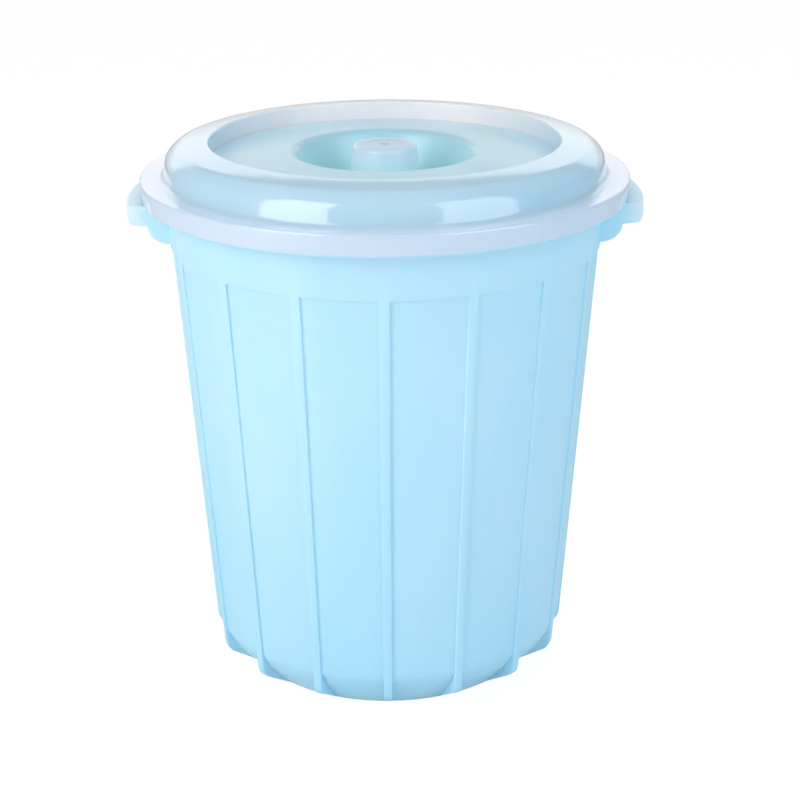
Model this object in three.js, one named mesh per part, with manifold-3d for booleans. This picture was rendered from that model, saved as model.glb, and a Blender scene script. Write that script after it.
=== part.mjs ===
// Lidded household bucket, injection moulded in two pieces: a ribbed, tapered bucket with two grip ears, and a
// hollow lid with a rolled ring, a sunk hand recess and a knob. Sizes are in millimetres, with +Z up.
// The origin is on the floor under the centre of the foot, the ears point along X, and one rib faces -Y.

import * as THREE from 'three';
import { mergeVertices } from 'three/addons/utils/BufferGeometryUtils.js';
import Module from 'manifold-3d';

// Bucket: body
const RIM_HEIGHT = 411.7; // floor to the top of the rim
const FOOT_LINE_RADIUS = 145.9; // face of the ribs, carried down to the floor
const RIM_LINE_RADIUS = 176.6; // face of the ribs, carried up to the rim
const BUCKET_WALL = 2.2;
const FLOOR_THICKNESS = 2.6;

// Bucket: ribs and the sunk panels between them
const RIB_COUNT = 16;
const RIB_WIDTH = 7;
const RIB_PROUD = 2; // height of a rib's face above its panels
const COLLAR_DEPTH = 53.7; // plain band from the top of the rim down to the panels
const COLLAR_STEP = 1.2; // height of the slope from a panel out to the collar

// Bucket: foot
const FOOT_RADIUS = 117.5; // outer edge of the ring that it stands on
const FOOT_RING_WIDTH = 9;
const FOOT_RECESS = 3.5; // how far the underside is raised inside that ring
const BEVEL_HEIGHT = 30; // height of the slope from the foot out to the panels
const NOSE_HEIGHT = 18; // floor to the corner that a rib's round lower end is drawn in
const NOSE_ROUNDING = 12; // round lower end of a rib
const INSIDE_ROUNDING = 10; // corner between the inside wall and the floor

// Bucket: rim
const RIM_WIDTH = 13.9; // from the wall line out to the edge of the turned-down rim
const RIM_DEPTH = 16; // height of the turned-down edge
const RIM_ROUNDING = 2.5;

// Bucket: grip ears
const EAR_REACH = 15.5; // how far an ear stands out from the rim
const EAR_WIDTH = 86;
const EAR_DEPTH = 15; // height of the ear's outer skirt
const EAR_DROP = 1.5; // how much lower the skirt ends at the gussets
const EAR_CORNER = 4.5;
const EAR_EDGE = 1.8; // rounding along the top edge
const GUSSET_REACH = 16.7; // from the wall out along the ear's end
const GUSSET_DEPTH = 14.4; // below the ear's end

// Lid: flange and skirt
const SEAT_GAP = 0.3; // running gap between the rim and the lid
const LID_WALL = 2;
const SKIRT_CLEARANCE = 0.9; // between the edge of the rim and the inside of the skirt
const SKIRT_DEPTH = 16; // from the flange's top down to the skirt's edge
const SKIRT_DRAFT = 1.6; // how much narrower the skirt ends than the flange
const FLANGE_EDGE = 1.6; // rounding of the flange's edge
const FLANGE_WIDTH = 19; // from the roll's foot to the flange's edge

// Lid: rolled ring
const ROLL_RISE = 27.2; // above the flange
const ROLL_WIDTH = 34.5; // between the feet of its outer and inner walls
const ROLL_OUTER_LEAN = 4.5; // how far the outer wall leans in
const ROLL_INNER_LEAN = 5;
const ROLL_OUTER_ROUNDING = 17;
const ROLL_INNER_ROUNDING = 7;
const ROLL_FOOT_ROUNDING = 4.5;

// Lid: panel, recess and knob
const PANEL_RISE = 13; // edge of the panel above the flange
const PANEL_DOME = 4.8; // how much the panel climbs towards the recess
const PANEL_STEP = 1.2; // the panel's edge stands this much above the foot of the roll
const PANEL_GROOVE = 2.4; // width of the groove between them
const RECESS_RADIUS = 72.1;
const RECESS_DEPTH = 30;
const RECESS_SLOPE = 12; // how much narrower the recess is at its bottom
const RECESS_ROUNDING = 5;
const RECESS_FLOOR_ROUNDING = 7;
const KNOB_RADIUS = 25.2;
const KNOB_TAPER = 3.6; // how much wider the knob is at its foot
const KNOB_STAND = 4.1; // top of the knob above the recess's edge
const KNOB_ROUNDING = 3.5;
const KNOB_FOOT_ROUNDING = 4;

// Fineness of the curves
const BUCKET_SIDES = 96; // a multiple of the rib count, so that each rib lies within one flat
const LID_SIDES = 64;
const CURVE_ERROR = 0.5; // how far a flat may cut inside a rounding
const GUSSET_STEPS = 6; // straight lengths along a gusset's curve
const CORNER_SHARE = 0.49; // the share of a side that one rounding may take
const MERGE_DISTANCE = 1e-4;
const CUT_MARGIN = 20; // how far a cutting body runs past what it cuts

// Places that follow from the sizes
const ribLine = (height) => FOOT_LINE_RADIUS + (RIM_LINE_RADIUS - FOOT_LINE_RADIUS) * height / RIM_HEIGHT;
const panelLine = (height) => ribLine(height) - RIB_PROUD;
const insideLine = (height) => panelLine(height) - BUCKET_WALL;
const collarFoot = RIM_HEIGHT - COLLAR_DEPTH;
const rimRadius = RIM_LINE_RADIUS + RIM_WIDTH;
const rimFoot = RIM_HEIGHT - RIM_DEPTH;
const earRadius = rimRadius + EAR_REACH;
const earTop = rimFoot + BUCKET_WALL / 2;
const earFoot = earTop - EAR_DEPTH;
const flangeTop = RIM_HEIGHT + SEAT_GAP + LID_WALL;
const flangeRadius = rimRadius + SKIRT_CLEARANCE + LID_WALL + SKIRT_DRAFT;
const rollRadius = flangeRadius - FLANGE_WIDTH;
const panelEdge = flangeTop + PANEL_RISE;
const panelRadius = rollRadius - ROLL_WIDTH - PANEL_GROOVE;
const recessEdge = panelEdge + PANEL_DOME;
const recessFloor = recessEdge - RECESS_DEPTH;
const knobTop = recessEdge + KNOB_STAND;

const wasm = await Module();
wasm.setup();

// An outline is a list of corners, each with the radius that rounds it.
function corner(across, up, rounding = 0) {
  return { at: new THREE.Vector2(across, up), rounding };
}

// Turns corners into points. A rounding is limited by the shorter of the two sides that it joins.
function roundedOutline(corners, closed = true) {
  const points = [];
  corners.forEach(({ at, rounding }, i) => {
    const isEnd = !closed && (i === 0 || i === corners.length - 1);
    if (rounding === 0 || isEnd) {
      points.push(at.clone());
      return;
    }
    const toLast = corners[(i + corners.length - 1) % corners.length].at.clone().sub(at);
    const toNext = corners[(i + 1) % corners.length].at.clone().sub(at);
    const room = CORNER_SHARE * Math.min(toLast.length(), toNext.length());
    toLast.normalize();
    toNext.normalize();
    const half = Math.acos(THREE.MathUtils.clamp(toLast.dot(toNext), -1, 1)) / 2;
    const radius = Math.min(rounding, room * Math.tan(half));
    const centre = toLast.clone().add(toNext).normalize().multiplyScalar(radius / Math.sin(half)).add(at);
    const start = toLast.multiplyScalar(radius / Math.tan(half)).add(at).sub(centre);
    const end = toNext.multiplyScalar(radius / Math.tan(half)).add(at).sub(centre);
    const turn = Math.atan2(start.cross(end), start.dot(end));
    const arcStep = 2 * Math.acos(1 - Math.min(CURVE_ERROR / radius, 1));
    const steps = Math.max(1, Math.ceil(Math.abs(turn) / arcStep));
    for (let step = 0; step <= steps; step += 1) {
      points.push(start.clone().rotateAround(new THREE.Vector2(), turn * step / steps).add(centre));
    }
  });
  return points;
}

// Moves an open line of corners sideways by a wall's thickness. Roundings grow on the outside of a bend.
function shellCorners(corners, thickness) {
  const sideOf = (from, to) => {
    const along = to.clone().sub(from).normalize();
    return new THREE.Vector2(along.y, -along.x).multiplyScalar(thickness);
  };
  return corners.map(({ at, rounding }, i) => {
    const last = corners[Math.max(i - 1, 0)].at;
    const next = corners[Math.min(i + 1, corners.length - 1)].at;
    const before = i > 0 ? sideOf(last, at) : sideOf(at, next);
    const after = i < corners.length - 1 ? sideOf(at, next) : before;
    const move = before.clone().add(after);
    move.multiplyScalar(2 * thickness * thickness / move.lengthSq());
    const bend = Math.sign(before.cross(after));
    return { at: at.clone().add(move), rounding: Math.max(rounding + bend * thickness, 0) };
  });
}

// Spins an outline round +Z. Half a side's turn puts the middle of a flat on -Y, under the first rib.
// An outline that runs anticlockwise gives a solid whose faces point out, so any other is turned round.
function spun(points, sides) {
  const turned = THREE.ShapeUtils.isClockWise(points) ? [...points].reverse() : points;
  const outline = [...turned, turned[0]];
  const geometry = new THREE.LatheGeometry(outline, sides, Math.PI / sides);
  return geometry.rotateX(Math.PI / 2);
}

function toSolid(geometry) {
  const bare = geometry.clone();
  bare.deleteAttribute('normal');
  bare.deleteAttribute('uv');
  const merged = mergeVertices(bare, MERGE_DISTANCE);
  return new wasm.Manifold(new wasm.Mesh({
    numProp: 3,
    vertProperties: new Float32Array(merged.attributes.position.array),
    triVerts: new Uint32Array(merged.index.array),
  }));
}

function toGeometry(solid) {
  const mesh = solid.getMesh();
  const geometry = new THREE.BufferGeometry();
  geometry.setAttribute('position', new THREE.BufferAttribute(mesh.vertProperties, 3));
  geometry.setIndex(new THREE.BufferAttribute(mesh.triVerts, 1));
  geometry.computeVertexNormals();
  return geometry;
}

function block(low, high) {
  const size = high.clone().sub(low);
  const middle = high.clone().add(low).multiplyScalar(0.5);
  return new THREE.BoxGeometry(size.x, size.y, size.z).translate(middle.x, middle.y, middle.z);
}

// Bucket wall with its foot, floor and turned-down rim, drawn at the ribs' face all the way round.
function bucketShell() {
  const insideTop = insideLine(RIM_HEIGHT);
  const floorTop = FOOT_RECESS + FLOOR_THICKNESS;
  const rimInside = rimRadius - BUCKET_WALL;
  const rimUnderside = RIM_HEIGHT - BUCKET_WALL;
  const footInside = FOOT_RADIUS - FOOT_RING_WIDTH;
  const bevelSlope = (panelLine(BEVEL_HEIGHT) - FOOT_RADIUS) / BEVEL_HEIGHT;
  const bevelOffset = BUCKET_WALL * Math.hypot(1, bevelSlope);
  const insideBevel = (height) => FOOT_RADIUS + bevelSlope * height - bevelOffset;
  return roundedOutline([
    corner(0, FOOT_RECESS),
    corner(footInside - FOOT_RECESS, FOOT_RECESS),
    corner(footInside, 0),
    corner(FOOT_RADIUS, 0),
    corner(ribLine(NOSE_HEIGHT), NOSE_HEIGHT, NOSE_ROUNDING),
    corner(ribLine(rimUnderside), rimUnderside, RIM_ROUNDING),
    corner(rimInside, rimUnderside, RIM_ROUNDING),
    corner(rimInside, rimFoot),
    corner(rimRadius, rimFoot),
    corner(rimRadius, RIM_HEIGHT, RIM_ROUNDING),
    corner(insideTop, RIM_HEIGHT, RIM_ROUNDING),
    corner(insideLine(BEVEL_HEIGHT), BEVEL_HEIGHT, INSIDE_ROUNDING),
    corner(insideBevel(floorTop), floorTop, INSIDE_ROUNDING),
    corner(0, floorTop),
  ]);
}

// What lies outside the panels: everything from their face out past the ribs, below the collar.
// The slope up to the collar is drawn to twice its length, so that it cuts right through the collar's face.
function panelSpace() {
  const outside = RIM_LINE_RADIUS + CUT_MARGIN;
  const slopeTop = collarFoot + 2 * COLLAR_STEP;
  return roundedOutline([
    corner(FOOT_RADIUS, 0),
    corner(panelLine(BEVEL_HEIGHT), BEVEL_HEIGHT, INSIDE_ROUNDING),
    corner(panelLine(collarFoot), collarFoot),
    corner(ribLine(collarFoot) + RIB_PROUD, slopeTop),
    corner(outside, slopeTop),
    corner(outside, -CUT_MARGIN),
    corner(FOOT_RADIUS, -CUT_MARGIN),
  ]);
}

// Blocks that keep the ribs' places out of the panel space. They run past it at the outside and below.
function ribBlocks() {
  const outside = RIM_LINE_RADIUS + 2 * CUT_MARGIN;
  const ribs = [];
  for (let i = 0; i < RIB_COUNT; i += 1) {
    const rib = block(
      new THREE.Vector3(-RIB_WIDTH / 2, -outside, -2 * CUT_MARGIN),
      new THREE.Vector3(RIB_WIDTH / 2, CUT_MARGIN - FOOT_RADIUS, RIM_HEIGHT),
    );
    ribs.push(rib.rotateZ(2 * Math.PI * i / RIB_COUNT));
  }
  return ribs;
}

// Side view of an ear and the gussets below its ends, from inside the wall outwards.
function earOutline() {
  const gussetFoot = earFoot - EAR_DROP - GUSSET_DEPTH;
  const inWall = ribLine(earFoot) - BUCKET_WALL / 2;
  const gussetEnd = ribLine(earFoot) + GUSSET_REACH;
  const edge = roundedOutline([
    corner(gussetEnd, earFoot - EAR_DROP),
    corner(earRadius, earFoot, EAR_CORNER),
    corner(earRadius, earTop, EAR_EDGE),
    corner(inWall, earTop),
  ], false);
  const gusset = new THREE.EllipseCurve(
    ribLine(earFoot), earFoot - EAR_DROP, GUSSET_REACH, GUSSET_DEPTH, -Math.PI / 2, 0,
  ).getPoints(GUSSET_STEPS);
  gusset.pop();
  return [new THREE.Vector2(inWall, gussetFoot), ...gusset, ...edge];
}

// Space for the fingers: under the ear's top, inside its skirt and between its two ends.
function earHollow() {
  return roundedOutline([
    corner(insideLine(earFoot), 0),
    corner(earRadius - BUCKET_WALL, 0),
    corner(earRadius - BUCKET_WALL, earTop - BUCKET_WALL, EAR_EDGE),
    corner(insideLine(earFoot), earTop - BUCKET_WALL),
  ]);
}

// Both ears at once: a ring, cut off at the two sides, leaves one ear at each end of the X axis.
function ears() {
  const outside = earRadius + CUT_MARGIN;
  const slab = (width) => toSolid(block(
    new THREE.Vector3(-outside, -width / 2, -CUT_MARGIN),
    new THREE.Vector3(outside, width / 2, RIM_HEIGHT),
  ));
  const body = toSolid(spun(earOutline(), BUCKET_SIDES)).intersect(slab(EAR_WIDTH));
  const hollow = toSolid(spun(earHollow(), BUCKET_SIDES)).intersect(slab(EAR_WIDTH - 2 * BUCKET_WALL));
  return body.subtract(hollow);
}

function bucketGeometry() {
  let panels = toSolid(spun(panelSpace(), BUCKET_SIDES));
  for (const rib of ribBlocks()) {
    panels = panels.subtract(toSolid(rib));
  }
  return toGeometry(toSolid(spun(bucketShell(), BUCKET_SIDES)).subtract(panels).add(ears()));
}

// Top side of the lid, from the middle of the knob out and down to the skirt's edge.
function lidTopCorners() {
  const rollTop = flangeTop + ROLL_RISE;
  const rollInside = rollRadius - ROLL_WIDTH;
  return [
    corner(0, knobTop),
    corner(KNOB_RADIUS, knobTop, KNOB_ROUNDING),
    corner(KNOB_RADIUS + KNOB_TAPER, recessFloor, KNOB_FOOT_ROUNDING),
    corner(RECESS_RADIUS - RECESS_SLOPE, recessFloor, RECESS_FLOOR_ROUNDING),
    corner(RECESS_RADIUS, recessEdge, RECESS_ROUNDING),
    corner(panelRadius, panelEdge, PANEL_STEP),
    corner(panelRadius + PANEL_STEP, panelEdge - PANEL_STEP),
    corner(rollInside, panelEdge - PANEL_STEP, PANEL_STEP),
    corner(rollInside + ROLL_INNER_LEAN, rollTop, ROLL_INNER_ROUNDING),
    corner(rollRadius - ROLL_OUTER_LEAN, rollTop, ROLL_OUTER_ROUNDING),
    corner(rollRadius, flangeTop, ROLL_FOOT_ROUNDING),
    corner(flangeRadius, flangeTop, FLANGE_EDGE),
    corner(flangeRadius - SKIRT_DRAFT, flangeTop - SKIRT_DEPTH),
  ];
}

function lidGeometry() {
  const top = lidTopCorners();
  const underside = shellCorners(top, LID_WALL);
  const outline = [...roundedOutline(top, false).reverse(), ...roundedOutline(underside, false)];
  return spun(outline, LID_SIDES);
}

function plastic(colour, roughness) {
  return new THREE.MeshStandardMaterial({ color: colour, roughness, metalness: 0 });
}

function part(name, geometry, material) {
  const mesh = new THREE.Mesh(geometry, material);
  mesh.name = name;
  return mesh;
}

const liddedBucket = new THREE.Group();
liddedBucket.add(
  part('bucket', bucketGeometry(), plastic(0xb4e6fa, 0.3)),
  part('lid', lidGeometry(), plastic(0xb7d8ee, 0.25)),
);

export default liddedBucket;
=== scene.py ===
# %% [markdown]
# A lidded household bucket, modelled as two mouldings
#
# The real object is two injection mouldings: a ribbed, tapered bucket and a hollow lid that drops over
# its rim. Nearly every surface is turned about one upright axis, so the work follows the mould maker's
# way: draw half a section, spin it, and then add what isn't round, which is the sunk panels between the
# ribs and the two ears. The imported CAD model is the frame. It fixes every size, and the new meshes stand
# exactly where its solids are.

from math import acos, atan2, ceil, cos, hypot, pi, radians, sin, tan

import bmesh
import bpy
from mathutils import Matrix, Vector


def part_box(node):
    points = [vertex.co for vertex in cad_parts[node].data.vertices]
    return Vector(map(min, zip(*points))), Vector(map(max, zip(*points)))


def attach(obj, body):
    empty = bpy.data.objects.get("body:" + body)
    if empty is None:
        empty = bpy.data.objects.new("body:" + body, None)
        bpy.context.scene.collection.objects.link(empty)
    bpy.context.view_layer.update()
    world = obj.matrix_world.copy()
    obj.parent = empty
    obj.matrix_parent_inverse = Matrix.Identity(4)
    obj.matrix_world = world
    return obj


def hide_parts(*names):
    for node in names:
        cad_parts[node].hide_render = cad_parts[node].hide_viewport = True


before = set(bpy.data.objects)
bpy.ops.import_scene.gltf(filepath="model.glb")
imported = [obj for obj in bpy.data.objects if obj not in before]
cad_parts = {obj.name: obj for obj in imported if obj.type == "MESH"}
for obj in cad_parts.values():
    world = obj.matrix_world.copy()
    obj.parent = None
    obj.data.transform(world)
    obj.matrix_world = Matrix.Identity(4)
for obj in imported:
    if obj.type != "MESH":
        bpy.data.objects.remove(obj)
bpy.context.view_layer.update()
bucket_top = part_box("bucket")[1].z
lid_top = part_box("lid")[1].z

# %% [markdown]
# Sizes
#
# Lengths are in metres. The heights of the rim and of the lid are measured from the frame, so they can't
# drift from it. The rest are the sizes that the mouldings are drawn with, named for what they are on the
# object.

# %% Sizes of the bucket
MM = 0.001
RIM_HEIGHT = bucket_top
FOOT_LINE_RADIUS = 145.9 * MM
RIM_LINE_RADIUS = 176.6 * MM
BUCKET_WALL = 2.2 * MM
FLOOR_THICKNESS = 2.6 * MM
RIB_COUNT = 16
RIB_PROUD = 2 * MM
COLLAR_FOOT = RIM_HEIGHT - 53.7 * MM
FOOT_RADIUS = 117.5 * MM
FOOT_RING_WIDTH = 9 * MM
FOOT_RECESS = 3.5 * MM
FOOT_RING_ROUNDING = 0.5 * MM
FOOT_RECESS_ROUNDING = 1 * MM
BEVEL_HEIGHT = 30 * MM
BEVEL_BEND = 9 * MM
NOSE_HEIGHT = 18 * MM
NOSE_ROUNDING = 12 * MM
INSIDE_ROUNDING = 10 * MM
RIM_RADIUS = RIM_LINE_RADIUS + 13.9 * MM
RIM_FOOT = RIM_HEIGHT - 16 * MM
RIM_ROUNDING = 2.5 * MM
RIM_EDGE_INSIDE = 0.4 * MM
RIM_EDGE = 0.8 * MM
EAR_RADIUS = RIM_RADIUS + 15.3 * MM
EAR_WIDTH = 86 * MM
EAR_TOP = RIM_FOOT + BUCKET_WALL / 2
EAR_FOOT = EAR_TOP - 15 * MM
EAR_DROP = 1.5 * MM
EAR_CORNER = 4.5 * MM
EAR_EDGE = 1.8 * MM
EAR_SOFTNESS = 0.5 * MM
GUSSET_REACH = 16.7 * MM
GUSSET_DEPTH = 14.4 * MM
GUSSET_STEPS = 12


def rib_line(height):
    """Radius of the ribs' faces at a height."""
    return FOOT_LINE_RADIUS + (RIM_LINE_RADIUS - FOOT_LINE_RADIUS) * height / RIM_HEIGHT


def inside_line(height):
    """Radius of the inside wall at a height."""
    return rib_line(height) - RIB_PROUD - BUCKET_WALL


print("rim radius", round(RIM_RADIUS, 4), "ear radius", round(EAR_RADIUS, 4))

# %% Sizes of the lid
LID_WALL = 2 * MM
GAP_ABOVE_RIM = 0.3 * MM
GAP_BESIDE_RIM = 0.9 * MM
FLANGE_TOP = RIM_HEIGHT + GAP_ABOVE_RIM + LID_WALL
SKIRT_DEPTH = 16 * MM
SKIRT_DRAFT = 1.3 * MM
FLANGE_RADIUS = RIM_RADIUS + GAP_BESIDE_RIM + LID_WALL + SKIRT_DRAFT
FLANGE_EDGE = 1.6 * MM
ROLL_RADIUS = FLANGE_RADIUS - 18.7 * MM
ROLL_TOP = lid_top
ROLL_INSIDE = ROLL_RADIUS - 37 * MM
ROLL_OUTER_LEAN = 1.6 * MM
ROLL_SHOULDER_WIDTH = 11 * MM
ROLL_SHOULDER_HEIGHT = 11.5 * MM
ROLL_INNER_LEAN = 0.6 * MM
ROLL_OUTER_ROUNDING = 14 * MM
ROLL_TOP_FALL = 3.1 * MM
ROLL_INNER_ROUNDING = 1.8 * MM
ROLL_CREST_LIFT = 0.15 * MM  # the rounding of the crest takes this off again
ROLL_FOOT_ROUNDING = 4.5 * MM
PANEL_EDGE = FLANGE_TOP + 13 * MM
PANEL_RADIUS = ROLL_INSIDE - 2.4 * MM
PANEL_STEP = 1.2 * MM
RECESS_EDGE = PANEL_EDGE + 4.8 * MM
RECESS_RADIUS = 72.1 * MM
RECESS_FLOOR = RECESS_EDGE - 30 * MM
RECESS_SLOPE = 12 * MM
RECESS_ROUNDING = 8 * MM
RECESS_FLOOR_ROUNDING = 7 * MM
KNOB_RADIUS = 25.2 * MM
KNOB_TAPER = 3.6 * MM
KNOB_TOP = RECESS_EDGE + 4.1 * MM
KNOB_ROUNDING = 3.5 * MM
KNOB_FOOT_ROUNDING = 4 * MM
KNOB_RING_RADIUS = 14.8 * MM
KNOB_RING_DEPTH = 0.35 * MM
GATE_RADIUS = 4.2 * MM
GATE_DEPTH = 0.8 * MM
print("flange radius", round(FLANGE_RADIUS, 4))
print("roll from", round(ROLL_INSIDE, 4), "to", round(ROLL_RADIUS, 4))

# %% [markdown]
# Drawing a section
#
# A section is a list of corners, each with the radius that rounds it. The rounding could be left to a
# bevel after the spin, but a corner of a moulding is drawn with a known radius, so the arc is worked out
# first and the section is then drawn as by hand: one vertex, extruded from point to point.

# %% Corners, arcs and wall offsets
ARC_STEP = radians(9)
CORNER_SHARE = 0.49  # an arc may take just under half of the shorter side beside it


def rounded(corners, closed=True):
    """Turns (across, up, rounding) corners into points, with each rounding as an arc."""
    points = []
    count = len(corners)
    for i, (across, up, rounding) in enumerate(corners):
        here = Vector((across, up))
        if rounding <= 0 or (not closed and i in (0, count - 1)):
            points.append(here)
            continue
        to_last = Vector(corners[i - 1][:2]) - here
        to_next = Vector(corners[(i + 1) % count][:2]) - here
        room = CORNER_SHARE * min(to_last.length, to_next.length)
        to_last.normalize()
        to_next.normalize()
        half = acos(max(-1, min(1, to_last.dot(to_next)))) / 2
        radius = min(rounding, room * tan(half))
        centre = here + (to_last + to_next).normalized() * radius / sin(half)
        start = here + to_last * radius / tan(half) - centre
        end = here + to_next * radius / tan(half) - centre
        turn = atan2(start.x * end.y - start.y * end.x, start.dot(end))
        steps = max(2, ceil(abs(turn) / ARC_STEP))
        for step in range(steps + 1):
            angle = turn * step / steps
            points.append(centre + Matrix.Rotation(angle, 2) @ start)
    return points


def shelled(corners, thickness):
    """Moves an open line of corners down and in by a wall's thickness."""
    moved = []
    for i, (across, up, rounding) in enumerate(corners):
        here = Vector((across, up))
        before = here - Vector(corners[i - 1][:2]) if i > 0 else None
        after = Vector(corners[i + 1][:2]) - here if i + 1 < len(corners) else None
        sides = [Vector((d.y, -d.x)).normalized() for d in (before, after) if d is not None]
        side = sum(sides, Vector((0, 0)))
        side *= thickness * len(sides) / side.length_squared
        bend = sides[0].x * sides[-1].y - sides[0].y * sides[-1].x
        grown = rounding + thickness * (1 if bend > 0 else -1)
        moved.append((here.x + side.x, here.y + side.y, max(grown, 0) if rounding > 0 else 0))
    return moved


square_corner = rounded([(0, 0, 0), (1, 0, 10 * MM), (1, 1, 0)], closed=False)
print("a right-angled corner of 10 mm takes", len(square_corner) - 2, "points")

# %% Drawing and spinning with operators
SIDES = 288  # eighteen columns to each rib and its panel
WELD = 0.002 * MM


def deselect_all():
    """The frame's nodes and the last piece stay selected, so every step starts by clearing them."""
    if bpy.context.object is not None and bpy.context.object.mode != "OBJECT":
        bpy.ops.object.mode_set(mode="OBJECT")
    bpy.ops.object.select_all(action="DESELECT")


def pick(piece):
    """Leaves one piece selected and active."""
    deselect_all()
    piece.select_set(True)
    bpy.context.view_layer.objects.active = piece


def apply_modifier(piece, kind, **settings):
    """Adds one modifier, sets it and applies it."""
    pick(piece)
    modifier = piece.modifiers.new(kind.title(), kind)
    for name, value in settings.items():
        setattr(modifier, name, value)
    bpy.ops.object.modifier_apply(modifier=modifier.name)


def draw_section(name, points, closed):
    """Draws a chain of edges in the XZ plane, by extruding one vertex from point to point."""
    deselect_all()
    bpy.ops.mesh.primitive_plane_add(size=MM, location=(0, 0, 0))
    piece = bpy.context.object
    piece.name = name
    piece.data.name = name
    bpy.ops.object.mode_set(mode="EDIT")
    bpy.ops.mesh.select_mode(type="VERT")
    bpy.ops.mesh.select_all(action="SELECT")
    bpy.ops.mesh.merge(type="CENTER")
    bpy.ops.transform.translate(value=(points[0].x, 0, points[0].y))
    for here, there in zip(points, points[1:]):
        step = there - here
        bpy.ops.mesh.extrude_region_move(TRANSFORM_OT_translate={"value": (step.x, 0, step.y)})
    if closed:
        work = bmesh.from_edit_mesh(piece.data)
        for vertex in work.verts:
            vertex.select = len(vertex.link_edges) == 1
        work.select_flush(True)
        bmesh.update_edit_mesh(piece.data)
        bpy.ops.mesh.edge_face_add()
    return piece


def spin_section(piece):
    """Spins the section about the upright axis, closes the seam and turns the faces outwards."""
    bpy.ops.mesh.select_all(action="SELECT")
    bpy.ops.mesh.spin(steps=SIDES, angle=2 * pi, center=(0, 0, 0), axis=(0, 0, 1))
    bpy.ops.mesh.select_all(action="SELECT")
    bpy.ops.mesh.remove_doubles(threshold=WELD)
    bpy.ops.mesh.normals_make_consistent(inside=False)
    bpy.ops.object.mode_set(mode="OBJECT")
    return piece


def report(piece):
    """Prints a piece's size, and whether its surface is closed."""
    work = bmesh.new()
    work.from_mesh(piece.data)
    loose = sum(1 for edge in work.edges if len(edge.link_faces) != 2)
    volume = work.calc_volume(signed=True)
    triangles = sum(len(face.verts) - 2 for face in work.faces)
    work.free()
    print(piece.name, "triangles", triangles, "open edges", loose, "volume", round(volume * 1e6, 1), "cm3")


# %% [markdown]
# The bucket's wall
#
# The wall is drawn at the face of the ribs all the way round, with the foot ring, the raised underside,
# the turned-down rim and the inside. The rounded lower end of a rib, its nose, is part of this section.
# Extra points run up the outside, because the panels need rows of vertices where their own bevel bends.

# %% Section of the bucket
PANEL_ROWS = [height * MM for height in (34, 37, 40, 60, 120, 180, 240, 300)]


def bevel_line(height):
    """Radius of the sloped foot between the ribs."""
    slope = (rib_line(BEVEL_HEIGHT) - RIB_PROUD - FOOT_RADIUS) / BEVEL_HEIGHT
    return FOOT_RADIUS + slope * height


def panel_radius(height):
    """Radius of a panel: the bevel, the wall above it, and a soft bend between them."""
    bend = BEVEL_BEND
    gap = bevel_line(height) - (rib_line(height) - RIB_PROUD)
    if abs(height - BEVEL_HEIGHT) < bend:
        reach = (height - BEVEL_HEIGHT + bend) / (2 * bend)
        below = bevel_line(BEVEL_HEIGHT - bend) - (rib_line(BEVEL_HEIGHT - bend) - RIB_PROUD)
        gap = below * (1 - reach) ** 2
    return rib_line(height) - RIB_PROUD + min(gap, 0)


def bucket_corners():
    """Half the section, from the middle of the underside, out, up, over the rim and back inside."""
    floor_top = FOOT_RECESS + FLOOR_THICKNESS
    rim_inside = RIM_RADIUS - BUCKET_WALL
    rim_under = RIM_HEIGHT - BUCKET_WALL
    foot_inside = FOOT_RADIUS - FOOT_RING_WIDTH
    slope = (bevel_line(BEVEL_HEIGHT) - FOOT_RADIUS) / BEVEL_HEIGHT
    inside_foot = bevel_line(floor_top) - BUCKET_WALL * hypot(1, slope)
    rows = [(rib_line(height), height, 0) for height in PANEL_ROWS]
    return [
        (0, FOOT_RECESS, 0),
        (foot_inside - FOOT_RECESS, FOOT_RECESS, FOOT_RECESS_ROUNDING),
        (foot_inside, 0, FOOT_RING_ROUNDING),
        (FOOT_RADIUS, 0, 0),
        (rib_line(NOSE_HEIGHT), NOSE_HEIGHT, NOSE_ROUNDING),
        *rows,
        (rib_line(COLLAR_FOOT), COLLAR_FOOT, 0),
        (rib_line(rim_under), rim_under, RIM_ROUNDING),
        (rim_inside, rim_under, RIM_ROUNDING),
        (rim_inside, RIM_FOOT, RIM_EDGE_INSIDE),
        (RIM_RADIUS, RIM_FOOT, RIM_EDGE),
        (RIM_RADIUS, RIM_HEIGHT, RIM_ROUNDING),
        (inside_line(RIM_HEIGHT), RIM_HEIGHT, RIM_ROUNDING),
        (inside_line(BEVEL_HEIGHT), BEVEL_HEIGHT, INSIDE_ROUNDING),
        (inside_foot, floor_top, INSIDE_ROUNDING),
        (0, floor_top, 0),
    ]


bucket = draw_section("bucket_moulding", rounded(bucket_corners(), closed=False), closed=False)
spin_section(bucket)
report(bucket)

# %% [markdown]
# Sunk panels between the ribs
#
# The ribs could be separate bars laid on a plain cone, but the real ribs are what the mould leaves
# standing. So the panels are sunk instead: the faces between the ribs are extruded in place, and each row
# of new vertices is then scaled towards the axis until it lies on the panel. The ribs keep their face,
# flush with the collar.

# %% Sink the panels
COLUMNS = SIDES // RIB_COUNT
RIB_COLUMNS = 2
COLUMN_ANGLE = 2 * pi / SIDES
FACES_DOWN = 0.95


def is_panel_face(face):
    """True for faces of the outside between two ribs, from the foot's edge up to the collar."""
    middle = face.calc_center_median()
    column = int(atan2(middle.y, middle.x) // COLUMN_ANGLE) % COLUMNS
    in_panel = RIB_COLUMNS // 2 <= column < COLUMNS - RIB_COLUMNS // 2
    outward = face.normal.x * middle.x + face.normal.y * middle.y > 0
    on_wall = middle.xy.length > FOOT_RADIUS and outward and abs(face.normal.z) < FACES_DOWN
    return in_panel and on_wall and 0 < middle.z < COLLAR_FOOT


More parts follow.
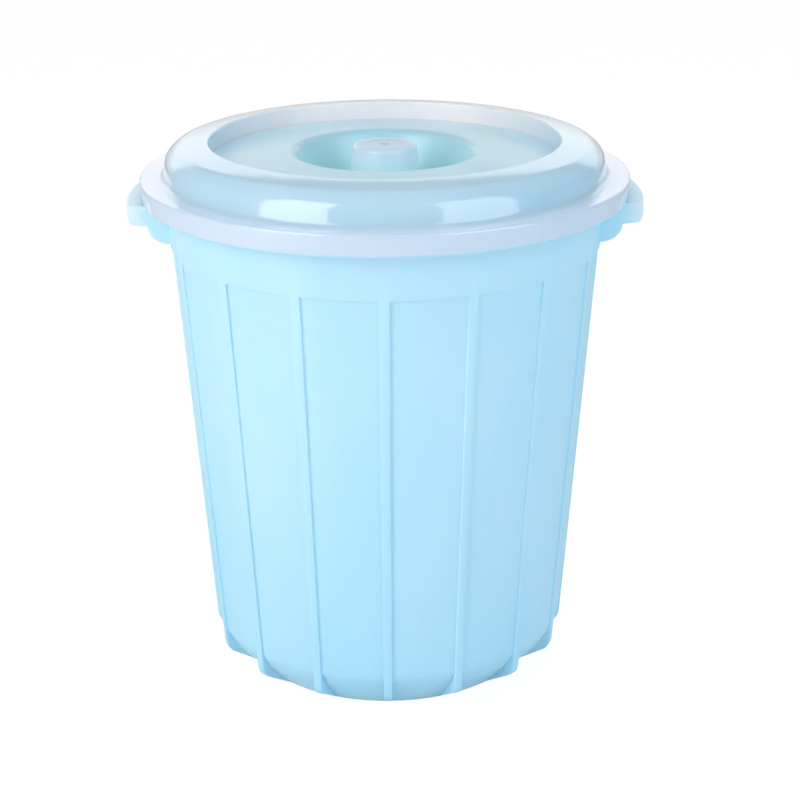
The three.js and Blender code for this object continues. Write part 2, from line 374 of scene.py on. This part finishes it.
pick(bucket)
bpy.ops.object.mode_set(mode="EDIT")
bpy.ops.mesh.select_mode(type="FACE")
bpy.ops.mesh.select_all(action="DESELECT")
work = bmesh.from_edit_mesh(bucket.data)
for face in work.faces:
    face.select = is_panel_face(face)
work.select_flush(True)
bmesh.update_edit_mesh(bucket.data)
bpy.ops.mesh.extrude_region_move(TRANSFORM_OT_translate={"value": (0, 0, 0)})
work = bmesh.from_edit_mesh(bucket.data)
sunk = [vertex.index for vertex in work.verts if vertex.select]
rows = sorted({round(vertex.co.z, 6) for vertex in work.verts if vertex.select})
print("panels:", len(sunk), "vertices in", len(rows), "rows")

# %% Scale each row of the panels towards the axis
bpy.ops.mesh.select_mode(type="VERT")
for row in rows:
    bpy.ops.mesh.select_all(action="DESELECT")
    work = bmesh.from_edit_mesh(bucket.data)
    work.verts.ensure_lookup_table()
    picked = [work.verts[i] for i in sunk if abs(work.verts[i].co.z - row) < 1e-6]
    for vertex in picked:
        vertex.select = True
    share = panel_radius(row) / picked[0].co.xy.length
    work.select_flush(True)
    bmesh.update_edit_mesh(bucket.data)
    bpy.ops.transform.resize(value=(share, share, 1), center_override=(0, 0, 0))
bpy.ops.mesh.select_all(action="SELECT")
bpy.ops.mesh.remove_doubles(threshold=2 * WELD)
bpy.ops.mesh.normals_make_consistent(inside=False)
bpy.ops.object.mode_set(mode="OBJECT")
report(bucket)

# %% [markdown]
# Soft edges on the panels
#
# A mould is never knife sharp. The edges round each panel catch the light in the photograph as one fine
# bright line and one fine dark one, so those edges alone get a small bevel, away from the foot where a
# rib runs out.

# %% Bevel the edges of the ribs and of the collar
EDGE_SOFTNESS = 0.55 * MM
SHARP = radians(40)
LOWEST_EDGE = 9 * MM
pick(bucket)
bpy.ops.object.mode_set(mode="EDIT")
bpy.ops.mesh.select_mode(type="EDGE")
bpy.ops.mesh.select_all(action="DESELECT")
work = bmesh.from_edit_mesh(bucket.data)
picked = 0
for edge in work.edges:
    middle = (edge.verts[0].co + edge.verts[1].co) / 2
    on_outside = middle.xy.length > inside_line(middle.z) + BUCKET_WALL / 2
    in_reach = LOWEST_EDGE < middle.z < COLLAR_FOOT + MM and middle.xy.length < RIM_LINE_RADIUS
    sharp = len(edge.link_faces) == 2 and edge.calc_face_angle() > SHARP
    edge.select = on_outside and in_reach and sharp
    picked += edge.select
work.select_flush_mode()
bmesh.update_edit_mesh(bucket.data)
bpy.ops.mesh.bevel(offset=EDGE_SOFTNESS, segments=2, clamp_overlap=False)
bpy.ops.mesh.select_all(action="SELECT")
bpy.ops.mesh.remove_doubles(threshold=WELD)
bpy.ops.object.mode_set(mode="OBJECT")
print("edges softened:", picked)
report(bucket)

# %% [markdown]
# The grip ears
#
# An ear is a shallow box that follows the rim: a top, a curved skirt and two ends that run down into
# gussets. Its outline is spun through a small angle, sliced flat at both ends, and hollowed from below by
# a second, smaller body made the same way. A union then makes it one moulding with the bucket.

# %% Outlines of an ear and of its hollow


def ear_outline():
    """Side view of an ear and its gusset, from inside the wall outwards."""
    wall = rib_line(EAR_FOOT)
    in_wall = wall - BUCKET_WALL / 2
    foot = EAR_FOOT - EAR_DROP
    turns = [pi / 2 * step / GUSSET_STEPS for step in range(GUSSET_STEPS)]
    gusset = [Vector((wall + GUSSET_REACH * sin(turn), foot - GUSSET_DEPTH * cos(turn))) for turn in turns]
    edge = rounded([
        (wall + GUSSET_REACH, foot, 0),
        (EAR_RADIUS, EAR_FOOT, EAR_CORNER),
        (EAR_RADIUS, EAR_TOP, EAR_EDGE),
        (in_wall, EAR_TOP, 0),
    ], closed=False)
    return [Vector((in_wall, foot - GUSSET_DEPTH)), *gusset, *edge]


def ear_hollow_outline():
    """Side view of the space for the fingers. It starts inside the wall, which the union puts back."""
    inner = inside_line(EAR_FOOT)
    outer = EAR_RADIUS - BUCKET_WALL
    top = EAR_TOP - BUCKET_WALL
    below = EAR_FOOT - 3 * GUSSET_DEPTH
    return rounded([(inner, below, 0), (outer, below, 0), (outer, top, EAR_EDGE), (inner, top, 0)])


print("an ear's side view has", len(ear_outline()), "points")

# %% Spin, slice and hollow the ears


def slice_ends(piece, width):
    """Cuts a ring off at both sides of the XZ plane, which leaves one lump at +X and one at -X.

    The ring is turned by a third of a column first, so that its columns don't fall on the bucket's own.
    """
    pick(piece)
    bpy.ops.object.mode_set(mode="EDIT")
    bpy.ops.mesh.select_all(action="SELECT")
    bpy.ops.transform.rotate(value=COLUMN_ANGLE / 3, orient_axis="Z", center_override=(0, 0, 0))
    for side in (-1, 1):
        bpy.ops.mesh.select_all(action="SELECT")
        bpy.ops.mesh.bisect(
            plane_co=(0, side * width / 2, 0), plane_no=(0, side, 0), clear_outer=True, use_fill=True
        )
    bpy.ops.mesh.select_all(action="SELECT")
    bpy.ops.mesh.normals_make_consistent(inside=False)
    bpy.ops.object.mode_set(mode="OBJECT")
    report(piece)


ears = spin_section(draw_section("ears", ear_outline(), closed=True))
slice_ends(ears, EAR_WIDTH)
hollow = spin_section(draw_section("ear_hollow", ear_hollow_outline(), closed=True))
slice_ends(hollow, EAR_WIDTH - 2 * BUCKET_WALL)
apply_modifier(ears, "BOOLEAN", operation="DIFFERENCE", object=hollow, solver="EXACT")
bpy.data.objects.remove(hollow)
apply_modifier(ears, "BEVEL", width=EAR_SOFTNESS, segments=2, limit_method="ANGLE", angle_limit=SHARP)
report(ears)

# %% Join the ears to the bucket
apply_modifier(bucket, "BOOLEAN", operation="UNION", object=ears, solver="FAST")
bpy.data.objects.remove(ears)
report(bucket)

# %% [markdown]
# The lid
#
# The lid is a thin shell whose underside follows its top, so only the top is drawn. The same corners,
# moved in by the wall's thickness, give the underside. The knob's top carries a shallow disc and, in its
# middle, the small mark where the plastic entered the mould.

# %% Section of the lid, and its spin


def lid_corners():
    """Top side of the lid, from the middle of the knob out and down to the edge of the skirt."""
    return [
        (0, KNOB_TOP, 0),
        (KNOB_RADIUS, KNOB_TOP, KNOB_ROUNDING),
        (KNOB_RADIUS + KNOB_TAPER, RECESS_FLOOR, KNOB_FOOT_ROUNDING),
        (RECESS_RADIUS - RECESS_SLOPE, RECESS_FLOOR, RECESS_FLOOR_ROUNDING),
        (RECESS_RADIUS, RECESS_EDGE, RECESS_ROUNDING),
        (PANEL_RADIUS, PANEL_EDGE, PANEL_STEP),
        (PANEL_RADIUS + PANEL_STEP, PANEL_EDGE - PANEL_STEP, 0),
        (ROLL_INSIDE, PANEL_EDGE - PANEL_STEP, PANEL_STEP),
        (ROLL_INSIDE + ROLL_INNER_LEAN, ROLL_TOP + ROLL_CREST_LIFT, ROLL_INNER_ROUNDING),
        (ROLL_RADIUS - ROLL_SHOULDER_WIDTH, ROLL_TOP - ROLL_TOP_FALL, ROLL_OUTER_ROUNDING),
        (ROLL_RADIUS - ROLL_OUTER_LEAN, ROLL_TOP - ROLL_SHOULDER_HEIGHT, ROLL_OUTER_ROUNDING),
        (ROLL_RADIUS, FLANGE_TOP, ROLL_FOOT_ROUNDING),
        (FLANGE_RADIUS, FLANGE_TOP, FLANGE_EDGE),
        (FLANGE_RADIUS - SKIRT_DRAFT, FLANGE_TOP - SKIRT_DEPTH, 0),
    ]


def knob_detail():
    """The mark and the shallow disc on the knob, from the axis outwards."""
    disc = KNOB_TOP - KNOB_RING_DEPTH
    return rounded([
        (0, disc - GATE_DEPTH * 0.2, 0),
        (GATE_RADIUS * 0.3, disc - GATE_DEPTH * 0.2, 0.2 * MM),
        (GATE_RADIUS * 0.45, disc - GATE_DEPTH, 0.2 * MM),
        (GATE_RADIUS * 0.8, disc - GATE_DEPTH, 0.2 * MM),
        (GATE_RADIUS, disc, 0.3 * MM),
        (KNOB_RING_RADIUS - KNOB_RING_DEPTH, disc, 0.3 * MM),
        (KNOB_RING_RADIUS + KNOB_RING_DEPTH, KNOB_TOP, 0.3 * MM),
        (KNOB_RING_RADIUS + 4 * KNOB_RING_DEPTH, KNOB_TOP, 0),
    ], closed=False)


top_side = rounded(lid_corners(), closed=False)
underside = rounded(shelled(lid_corners(), LID_WALL), closed=False)
lid = draw_section("lid_moulding", [*knob_detail(), *top_side[1:], *reversed(underside)], closed=False)
spin_section(lid)
report(lid)

# %% [markdown]
# Smooth shading
#
# The roundings are drawn in short flats, at most nine degrees apart. Shading blends what bends less than
# the angle below, and leaves the real edges as they are.

# %% Smooth the faces, keeping the real edges
SMOOTH_ANGLE = radians(32)
for piece in (bucket, lid):
    pick(piece)
    bpy.ops.object.shade_smooth_by_angle(angle=SMOOTH_ANGLE)
print("shaded:", bucket.name, lid.name)

# %% [markdown]
# Moulded plastic
#
# Both pieces are cloudy, slightly translucent plastic with a soft gloss. Up close such a skin isn't
# perfect: it has a faint orange-peel ripple, cloudy flow marks where the melt ran, and handling marks
# that dull it in patches. The three effects are one node group, used by both materials with their own
# values.

# %% Node group for a moulded skin
FLOW_SCALE = 9
MARK_SCALE = 38
RIPPLE_SCALE = 260
FLOW_TINT = (0.22, 0.2, 0.16, 1)


def new_group(name, inputs, outputs):
    """A shader node group with the named sockets."""
    group = bpy.data.node_groups.new(name, "ShaderNodeTree")
    for label, kind in inputs:
        group.interface.new_socket(label, in_out="INPUT", socket_type=kind)
    for label, kind in outputs:
        group.interface.new_socket(label, in_out="OUTPUT", socket_type=kind)
    return group, group.nodes.new("NodeGroupInput"), group.nodes.new("NodeGroupOutput")


def noise(tree, vector, scale, detail):
    """A noise texture on object coordinates."""
    node = tree.nodes.new("ShaderNodeTexNoise")
    node.inputs["Scale"].default_value = scale
    node.inputs["Detail"].default_value = detail
    tree.links.new(vector, node.inputs["Vector"])
    return node.outputs["Fac"]


def remap(tree, value, low, high, to_low, to_high):
    """Maps a value from one range to another."""
    node = tree.nodes.new("ShaderNodeMapRange")
    tree.links.new(value, node.inputs["Value"])
    for label, number in (("From Min", low), ("From Max", high), ("To Min", to_low), ("To Max", to_high)):
        node.inputs[label].default_value = number
    return node.outputs["Result"]


def blend(tree, kind, factor, first, second):
    """Blends two colours. The factor and the colours are sockets, or plain values."""
    node = tree.nodes.new("ShaderNodeMix")
    node.data_type = "RGBA"
    node.blend_type = kind
    for label, value in (("Factor", factor), ("A", first), ("B", second)):
        socket = node.inputs[label]
        if isinstance(value, bpy.types.NodeSocket):
            tree.links.new(value, socket)
        else:
            socket.default_value = value
    return node.outputs["Result"]


def calculate(tree, operation, *values):
    """A math node on sockets or plain values."""
    node = tree.nodes.new("ShaderNodeMath")
    node.operation = operation
    for socket, value in zip(node.inputs, values):
        if isinstance(value, bpy.types.NodeSocket):
            tree.links.new(value, socket)
        else:
            socket.default_value = value
    return node.outputs["Value"]


def build_moulded_skin():
    """Colour, roughness and height of a moulded skin."""
    group, given, result = new_group(
        "moulded_skin",
        [("Colour", "NodeSocketColor"), ("Cloudiness", "NodeSocketFloat"),
         ("Roughness", "NodeSocketFloat"), ("Handling", "NodeSocketFloat")],
        [("Colour", "NodeSocketColor"), ("Roughness", "NodeSocketFloat"), ("Height", "NodeSocketFloat")],
    )
    place = group.nodes.new("ShaderNodeTexCoord").outputs["Object"]
    stretch = group.nodes.new("ShaderNodeMapping")
    stretch.inputs["Scale"].default_value = (1, 1, 0.35)
    group.links.new(place, stretch.inputs["Vector"])
    flow = remap(group, noise(group, stretch.outputs["Vector"], FLOW_SCALE, 3), 0.35, 0.65, 0, 1)
    cloud = calculate(group, "MULTIPLY", flow, given.outputs["Cloudiness"])
    cloudy = blend(group, "SCREEN", cloud, given.outputs["Colour"], FLOW_TINT)
    group.links.new(cloudy, result.inputs["Colour"])
    marks = remap(group, noise(group, place, MARK_SCALE, 5), 0.45, 0.7, 0, 1)
    dulled = calculate(group, "MULTIPLY_ADD", marks, given.outputs["Handling"], given.outputs["Roughness"])
    group.links.new(dulled, result.inputs["Roughness"])
    group.links.new(noise(group, place, RIPPLE_SCALE, 2), result.inputs["Height"])
    return group


def build_upright_axis():
    """Where a point lies: its distance from the upright axis, and how far back it is."""
    group, given, result = new_group(
        "upright_axis", [], [("Radius", "NodeSocketFloat"), ("Depth", "NodeSocketFloat")]
    )
    place = group.nodes.new("ShaderNodeTexCoord").outputs["Object"]
    flat = group.nodes.new("ShaderNodeVectorMath")
    flat.operation = "MULTIPLY"
    flat.inputs[1].default_value = (1, 1, 0)
    group.links.new(place, flat.inputs[0])
    length = group.nodes.new("ShaderNodeVectorMath")
    length.operation = "LENGTH"
    group.links.new(flat.outputs["Vector"], length.inputs[0])
    group.links.new(length.outputs["Value"], result.inputs["Radius"])
    split = group.nodes.new("ShaderNodeSeparateXYZ")
    group.links.new(place, split.inputs["Vector"])
    group.links.new(split.outputs["Y"], result.inputs["Depth"])
    return group


moulded_skin = build_moulded_skin()
upright_axis = build_upright_axis()
print("node groups", moulded_skin.name, upright_axis.name)

# %% [markdown]
# Rings of colour
#
# The colour ramp over the radius paints light and shade into the plastic. It paints the lid paler where
# light from behind would come through it, and deeper where walls face each other. It paints the knob's
# side brighter than its top, the recess lighter than its shade, and the bucket lighter at its foot and
# towards its top. On a turned moulding those places are rings, so one colour ramp over the radius tints
# them all.

# %% Materials of the bucket and of the lid
WIDEST = 210 * MM
# Painted backlight: where it starts and where it is full, counted as depth, and its pale colour.
PAINTED_BACKLIGHT_FROM = -20 * MM  # depth, counted from the axis towards the sweep
PAINTED_BACKLIGHT_FULL = 120 * MM
PAINTED_BACKLIGHT_COLOUR = (0.96, 0.91, 0.91, 1)
CREST_SHARE = 0.6  # how much of the backlight is left where the roll turns outwards
POLISH_FROM = ROLL_INSIDE + 0.5 * MM
POLISH_FULL = ROLL_INSIDE + 1.5 * MM
RIPPLE_DEPTH = 0.2 * MM


def ring_colours(tree, radius, rings):
    """A colour for each radius, with soft changes between the rings."""
    ramp = tree.nodes.new("ShaderNodeValToRGB")
    elements = ramp.color_ramp.elements
    while len(elements) > 1:
        elements.remove(elements[-1])
    for i, (at, colour) in enumerate(rings):
        element = elements[0] if i == 0 else elements.new(at / WIDEST)
        element.position = at / WIDEST
        element.color = (*colour, 1)
    share = remap(tree, radius, 0, WIDEST, 0, 1)
    tree.links.new(share, ramp.inputs["Fac"])
    return ramp.outputs["Color"]


def use_group(tree, group):
    """Places a node group in a material."""
    node = tree.nodes.new("ShaderNodeGroup")
    node.node_tree = group
    return node


def plastic(name, rings, painted_backlight, cloudiness, roughness, handling, ripple, coat, specular):
    """A cloudy moulded plastic. Out from the panel and towards the back, a painted backlight makes it paler,
    as if the white sweep behind shone through the plastic.

    Roughness and coat are given as two values each: for the middle, and for the polished outer ring.
    """
    material = bpy.data.materials.new(name)
    material.use_nodes = True
    tree = material.node_tree
    shader = tree.nodes["Principled BSDF"]
    shader.inputs["IOR"].default_value = 1.5
    shader.inputs["Specular IOR Level"].default_value = specular
    shader.inputs["Subsurface Weight"].default_value = 0.3
    shader.inputs["Subsurface Radius"].default_value = (0.6, 0.9, 1.0)
    shader.inputs["Subsurface Scale"].default_value = 1.2 * MM
    shader.inputs["Coat Roughness"].default_value = 0.05
    place = use_group(tree, upright_axis)
    radius = place.outputs["Radius"]
    # Painted backlight: out from the panel and towards the back, the colour is mixed towards a pale tint, less
    # on the polished crest.
    outer = remap(tree, radius, PANEL_RADIUS, ROLL_INSIDE, 0, 1)
    polished = remap(tree, radius, POLISH_FROM, POLISH_FULL, 0, 1)
    behind = remap(tree, place.outputs["Depth"], PAINTED_BACKLIGHT_FROM, PAINTED_BACKLIGHT_FULL, 0, 1)
    painted_backlight_share = calculate(tree, "MULTIPLY", calculate(tree, "MULTIPLY", outer, behind), painted_backlight)
    painted_backlight_share = calculate(tree, "MULTIPLY", painted_backlight_share, remap(tree, polished, 0, 1, 1, CREST_SHARE))
    colour_with_painted_light = blend(tree, "MIX", painted_backlight_share, ring_colours(tree, radius, rings), PAINTED_BACKLIGHT_COLOUR)
    skin = use_group(tree, moulded_skin)
    skin.inputs["Cloudiness"].default_value = cloudiness
    skin.inputs["Handling"].default_value = handling
    tree.links.new(colour_with_painted_light, skin.inputs["Colour"])
    tree.links.new(remap(tree, polished, 0, 1, *roughness), skin.inputs["Roughness"])
    tree.links.new(remap(tree, polished, 0, 1, *coat), shader.inputs["Coat Weight"])
    bump = tree.nodes.new("ShaderNodeBump")
    bump.inputs["Strength"].default_value = ripple
    bump.inputs["Distance"].default_value = RIPPLE_DEPTH
    tree.links.new(skin.outputs["Colour"], shader.inputs["Base Color"])
    tree.links.new(skin.outputs["Roughness"], shader.inputs["Roughness"])
    tree.links.new(skin.outputs["Height"], bump.inputs["Height"])
    tree.links.new(bump.outputs["Normal"], shader.inputs["Normal"])
    return material


def dress(piece, material):
    """Gives a piece one material."""
    piece.data.materials.clear()
    piece.data.materials.append(material)


# The bucket's blue with painted light: the foot bevel and the wall towards the top are painted lighter. The
# ears are paler.
bucket_colour_and_painted_light = [
    (FOOT_RADIUS, (0.52, 0.84, 0.98)),
    (144 * MM, (0.41, 0.76, 0.95)),
    (167 * MM, (0.46, 0.79, 0.97)),
    (RIM_LINE_RADIUS, (0.50, 0.82, 0.98)),
    (RIM_RADIUS, (0.52, 0.83, 0.98)),
    (EAR_RADIUS, (0.72, 0.87, 0.96)),
]
# The lid's colours with painted light and shade: the knob's side brighter than its top, the recess lighter
# than its shade and deeper where walls face each other, the flange pale as if lit from behind.
lid_colour_and_painted_light = [
    (KNOB_RADIUS - 4 * MM, (0.43, 0.59, 0.73)),
    (KNOB_RADIUS + MM, (0.68, 0.86, 0.98)),
    (KNOB_RADIUS + KNOB_TAPER, (0.61, 0.83, 0.95)),
    (KNOB_RADIUS + KNOB_TAPER + 3 * MM, (0.38, 0.73, 0.80)),
    (RECESS_RADIUS - 4 * MM, (0.46, 0.78, 0.86)),
    (RECESS_RADIUS + MM, (0.39, 0.64, 0.75)),
    (PANEL_RADIUS - 4 * MM, (0.45, 0.70, 0.82)),
    (ROLL_INSIDE + 2 * MM, (0.44, 0.67, 0.82)),
    (ROLL_RADIUS, (0.45, 0.69, 0.84)),
    (ROLL_RADIUS + 5 * MM, (0.58, 0.71, 0.86)),
]
bucket_plastic = plastic(
    "bucket_plastic", bucket_colour_and_painted_light, painted_backlight=0, cloudiness=0.5, roughness=(0.45, 0.45), handling=0.12,
    ripple=0.12, coat=(0, 0), specular=0.3,
)
lid_plastic = plastic(
    "lid_plastic", lid_colour_and_painted_light, painted_backlight=0.9, cloudiness=0.4, roughness=(0.30, 0.12), handling=0.06,
    ripple=0.05, coat=(0.1, 0.7), specular=0.5,
)
dress(bucket, bucket_plastic)
dress(lid, lid_plastic)
print("materials", bucket_plastic.name, lid_plastic.name)

# %% Tell the frame what each piece stands for
for piece, body, node, slot in (
    (bucket, "bucket", "bucket", "bucket_plastic"),
    (lid, "lid", "lid", "lid_plastic"),
):
    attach(piece, body)
    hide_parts(node)

# %% [markdown]
# Floor, light and camera
#
# The photograph is a high-key studio picture: a white sweep, one tall softbox at each side of the camera,
# and white all round behind the object. The lamps are kept at a plain level, so a colour renders about as
# written.

# %% Floor and backdrop
FLOOR_SIZE = 12
FLOOR_COLOUR = (0.78, 0.80, 0.83, 1)
FLOOR_GLOW = 1.09
GLOW_SHARE = 0.85  # the rest is the plain floor, which keeps the shadow
ROOM_LIGHT = 0.55
ROOM_COLOUR = (1, 0.98, 0.98, 1)
DIM_ROOM = 0.32
WHITE_SWEEP = 1.3
SWEEP_SIDES = (0.72, 0.78)  # how far a direction points to the back, where the sweep begins and is full
SWEEP_TOP = (0.40, 0.45)  # how far it points up, where the sweep ends
SWEEP_FOOT = (0.05, 0.2)
FOOT_SHARE = 0.4


def stage_material():
    """A pale floor that still takes a soft shadow, and shows almost white to the camera."""
    material = bpy.data.materials.new("pale_floor")
    material.use_nodes = True
    tree = material.node_tree
    shader = tree.nodes["Principled BSDF"]
    shader.inputs["Base Color"].default_value = FLOOR_COLOUR
    shader.inputs["Roughness"].default_value = 0.9
    glow = tree.nodes.new("ShaderNodeEmission")
    glow.inputs["Color"].default_value = (1, 1, 1, 1)
    glow.inputs["Strength"].default_value = FLOOR_GLOW
    path = tree.nodes.new("ShaderNodeLightPath")
    share = calculate(tree, "MULTIPLY", path.outputs["Is Camera Ray"], GLOW_SHARE)
    mix = tree.nodes.new("ShaderNodeMixShader")
    tree.links.new(share, mix.inputs["Fac"])
    tree.links.new(shader.outputs["BSDF"], mix.inputs[1])
    tree.links.new(glow.outputs["Emission"], mix.inputs[2])
    tree.links.new(mix.outputs["Shader"], tree.nodes["Material Output"].inputs["Surface"])
    return material


deselect_all()
bpy.ops.mesh.primitive_plane_add(size=FLOOR_SIZE, location=(0, 0, 0))
floor = bpy.context.object
floor.name = "floor"
dress(floor, stage_material())


def build_world():
    """White to the camera. In reflections the sweep is a white window low behind the object, in a dim room."""
    world = bpy.data.worlds.new("studio")
    bpy.context.scene.world = world
    world.use_nodes = True
    tree = world.node_tree
    tree.nodes.clear()
    path = tree.nodes.new("ShaderNodeLightPath")
    split = tree.nodes.new("ShaderNodeSeparateXYZ")
    tree.links.new(tree.nodes.new("ShaderNodeTexCoord").outputs["Generated"], split.inputs["Vector"])
    behind = remap(tree, split.outputs["Y"], *SWEEP_SIDES, 0, 1)
    raised = remap(tree, split.outputs["Z"], *SWEEP_FOOT, FOOT_SHARE, 1)
    low = remap(tree, split.outputs["Z"], *SWEEP_TOP, 1, 0)
    window = calculate(tree, "MULTIPLY", behind, calculate(tree, "MULTIPLY", raised, low))
    sweep = remap(tree, window, 0, 1, DIM_ROOM, WHITE_SWEEP)
    change = calculate(tree, "SUBTRACT", sweep, ROOM_LIGHT)
    reflected = calculate(tree, "MULTIPLY", path.outputs["Is Glossy Ray"], change)
    unseen = calculate(tree, "ADD", reflected, ROOM_LIGHT)
    even = tree.nodes.new("ShaderNodeBackground")
    even.inputs["Color"].default_value = ROOM_COLOUR
    tree.links.new(unseen, even.inputs["Strength"])
    white = tree.nodes.new("ShaderNodeBackground")
    white.inputs["Color"].default_value = (1, 1, 1, 1)
    mix = tree.nodes.new("ShaderNodeMixShader")
    output = tree.nodes.new("ShaderNodeOutputWorld")
    tree.links.new(path.outputs["Is Camera Ray"], mix.inputs["Fac"])
    tree.links.new(even.outputs["Background"], mix.inputs[1])
    tree.links.new(white.outputs["Background"], mix.inputs[2])
    tree.links.new(mix.outputs["Shader"], output.inputs["Surface"])


build_world()
print("stage set")

# %% [markdown]
# Softboxes
#
# Each tall softbox of the photograph is two lamps here: one that only lights the plastic, and one that
# only shows as a bright window in its gloss. So the brightness and the sharpness of the highlights are
# set by themselves.

# %% Stand the softboxes
LAMP_DISTANCE = 1.6
HIGHEST_AIM = 1.2  # a lamp above this height looks down


def softbox(name, azimuth, distance, height, size, power, colour=(1, 1, 1), shine_only=False):
    """A rectangular lamp that stands at an azimuth from the front and faces the object."""
    lamp = bpy.data.lights.new(name, "AREA")
    lamp.shape = "RECTANGLE"
    lamp.size, lamp.size_y = size
    lamp.energy = power
    lamp.color = colour
    stand = bpy.data.objects.new(name, lamp)
    bpy.context.scene.collection.objects.link(stand)
    turn = radians(azimuth)
    stand.location = (distance * sin(turn), -distance * cos(turn), height)
    aim = Vector((0, 0, min(height, HIGHEST_AIM))) - stand.location
    stand.rotation_euler = aim.to_track_quat("-Z", "Y").to_euler()
    stand.visible_diffuse = not shine_only
    stand.visible_glossy = shine_only
    return stand


softbox("key_left", -50, LAMP_DISTANCE, 1.05, size=(1.1, 2.0), power=18, colour=(1, 0.94, 0.91))
softbox("fill_right", 50, LAMP_DISTANCE, 1.05, size=(1.1, 2.0), power=11, colour=(0.67, 0.87, 1))
softbox("top", 180, 0.6, 2.2, size=(1.8, 1.8), power=10)
softbox(
    "shine_left", -44, LAMP_DISTANCE, 1.15, size=(1.0, 2.2), power=23, colour=(1, 0.96, 0.96), shine_only=True
)
softbox(
    "shine_right", 47, LAMP_DISTANCE, 1.15, size=(1.15, 2.2), power=18, colour=(1, 0.96, 0.94), shine_only=True
)
print("lamps", [light.name for light in bpy.data.lights])

# %% [markdown]
# Camera
#
# The place, the pitch and the focal length come from the ellipses of the rim, the lid and the foot in the
# photograph, so the render can be laid over it.

# %% Camera
CAMERA_PLACE = Vector((0.0109, -1.5, 0.7744))
CAMERA_PITCH = 0.355  # radians below level
CAMERA_ROLL = -0.006
SENSOR_WIDTH = 36
FOCAL_PIXELS = 1917.3
PICTURE_PIXELS = 800

camera_data = bpy.data.cameras.new("camera")
camera_data.sensor_width = SENSOR_WIDTH
camera_data.lens = FOCAL_PIXELS / PICTURE_PIXELS * camera_data.sensor_width
camera = bpy.data.objects.new("camera", camera_data)
bpy.context.scene.collection.objects.link(camera)
camera.matrix_world = (
    Matrix.Translation(CAMERA_PLACE)
    @ Matrix.Rotation(pi / 2 - CAMERA_PITCH, 4, "X")
    @ Matrix.Rotation(CAMERA_ROLL, 4, "Z")
)
bpy.context.scene.camera = camera
bpy.context.scene.view_settings.view_transform = "Standard"
print("camera lens", round(camera_data.lens, 1), "mm")
